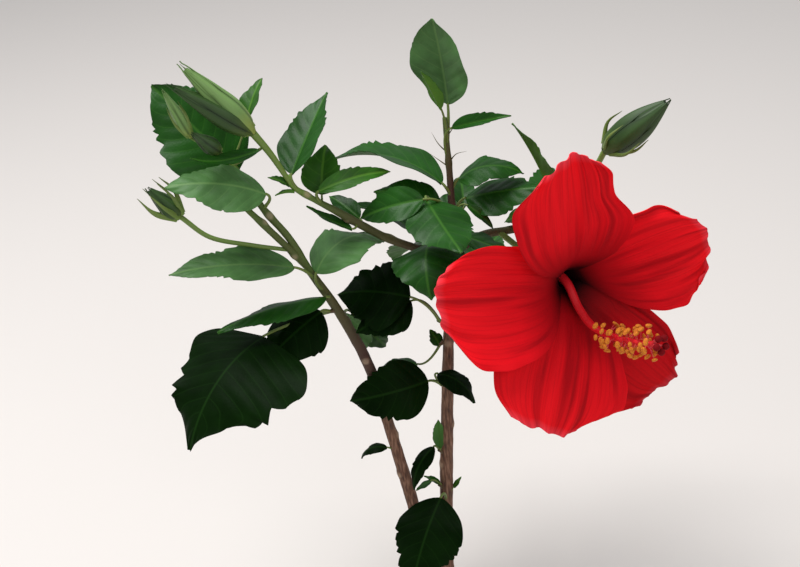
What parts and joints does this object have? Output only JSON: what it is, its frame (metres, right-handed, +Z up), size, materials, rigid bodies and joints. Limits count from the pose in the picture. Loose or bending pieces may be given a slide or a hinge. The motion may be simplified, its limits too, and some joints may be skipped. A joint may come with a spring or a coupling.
{
  "type": "flowering hibiscus shrub",
  "caption": "Young garden shrub on forked woody stems, with toothed oval leaves, pointed buds and one wide open trumpet-shaped bloom with a long staminal column.",
  "frame": {"origin": "centre of the flat cut at the foot of the main stem, at ground level", "axes": "+Z up, -Y towards the viewer of the picture, +X to the viewer's right"},
  "size_m": [0.2961, 0.1946, 0.364],
  "materials": {
    "bark": "rough brown bark with pale scars",
    "green_bark": "smooth green young bark",
    "leaf": "glossy green leaf",
    "old_leaf": "dark green leaf, half gloss",
    "bud": "satin green bud and calyx",
    "petal": "soft matt red petal",
    "column": "red column with yellow anthers"
  },
  "bodies": {
    "root": {"main_stem": "bark", "left_stem": "bark", "cross_shoot": "bark", "bud_shoot": "green_bark", "side_shoot": "green_bark", "flower_shoot": "green_bark", "crown_leaves": "leaf", "cross_leaves": "leaf", "upper_left_leaves": "leaf", "side_leaves": "leaf", "left_bud": "bud", "left_outer_leaves": "leaf", "left_fan_leaf": "leaf", "left_long_leaf": "leaf", "left_broad_leaves": "old_leaf", "left_back_leaves": "leaf", "left_small_leaf": "leaf", "middle_leaves": "old_leaf", "twig_leaf": "leaf", "lower_leaves": "old_leaf", "small_shoot": "leaf", "low_left_leaf": "leaf", "low_front_leaf": "old_leaf", "low_right_leaf": "leaf", "right_leaves": "leaf", "flower_calyx": "bud", "petal_1": "petal", "petal_2": "petal", "petal_3": "petal", "petal_4": "petal", "petal_5": "petal", "staminal_column": "column", "back_crown_leaves": "leaf", "back_middle_leaves": "leaf", "back_bloom_leaves": "leaf"}
  },
  "joints": []
}
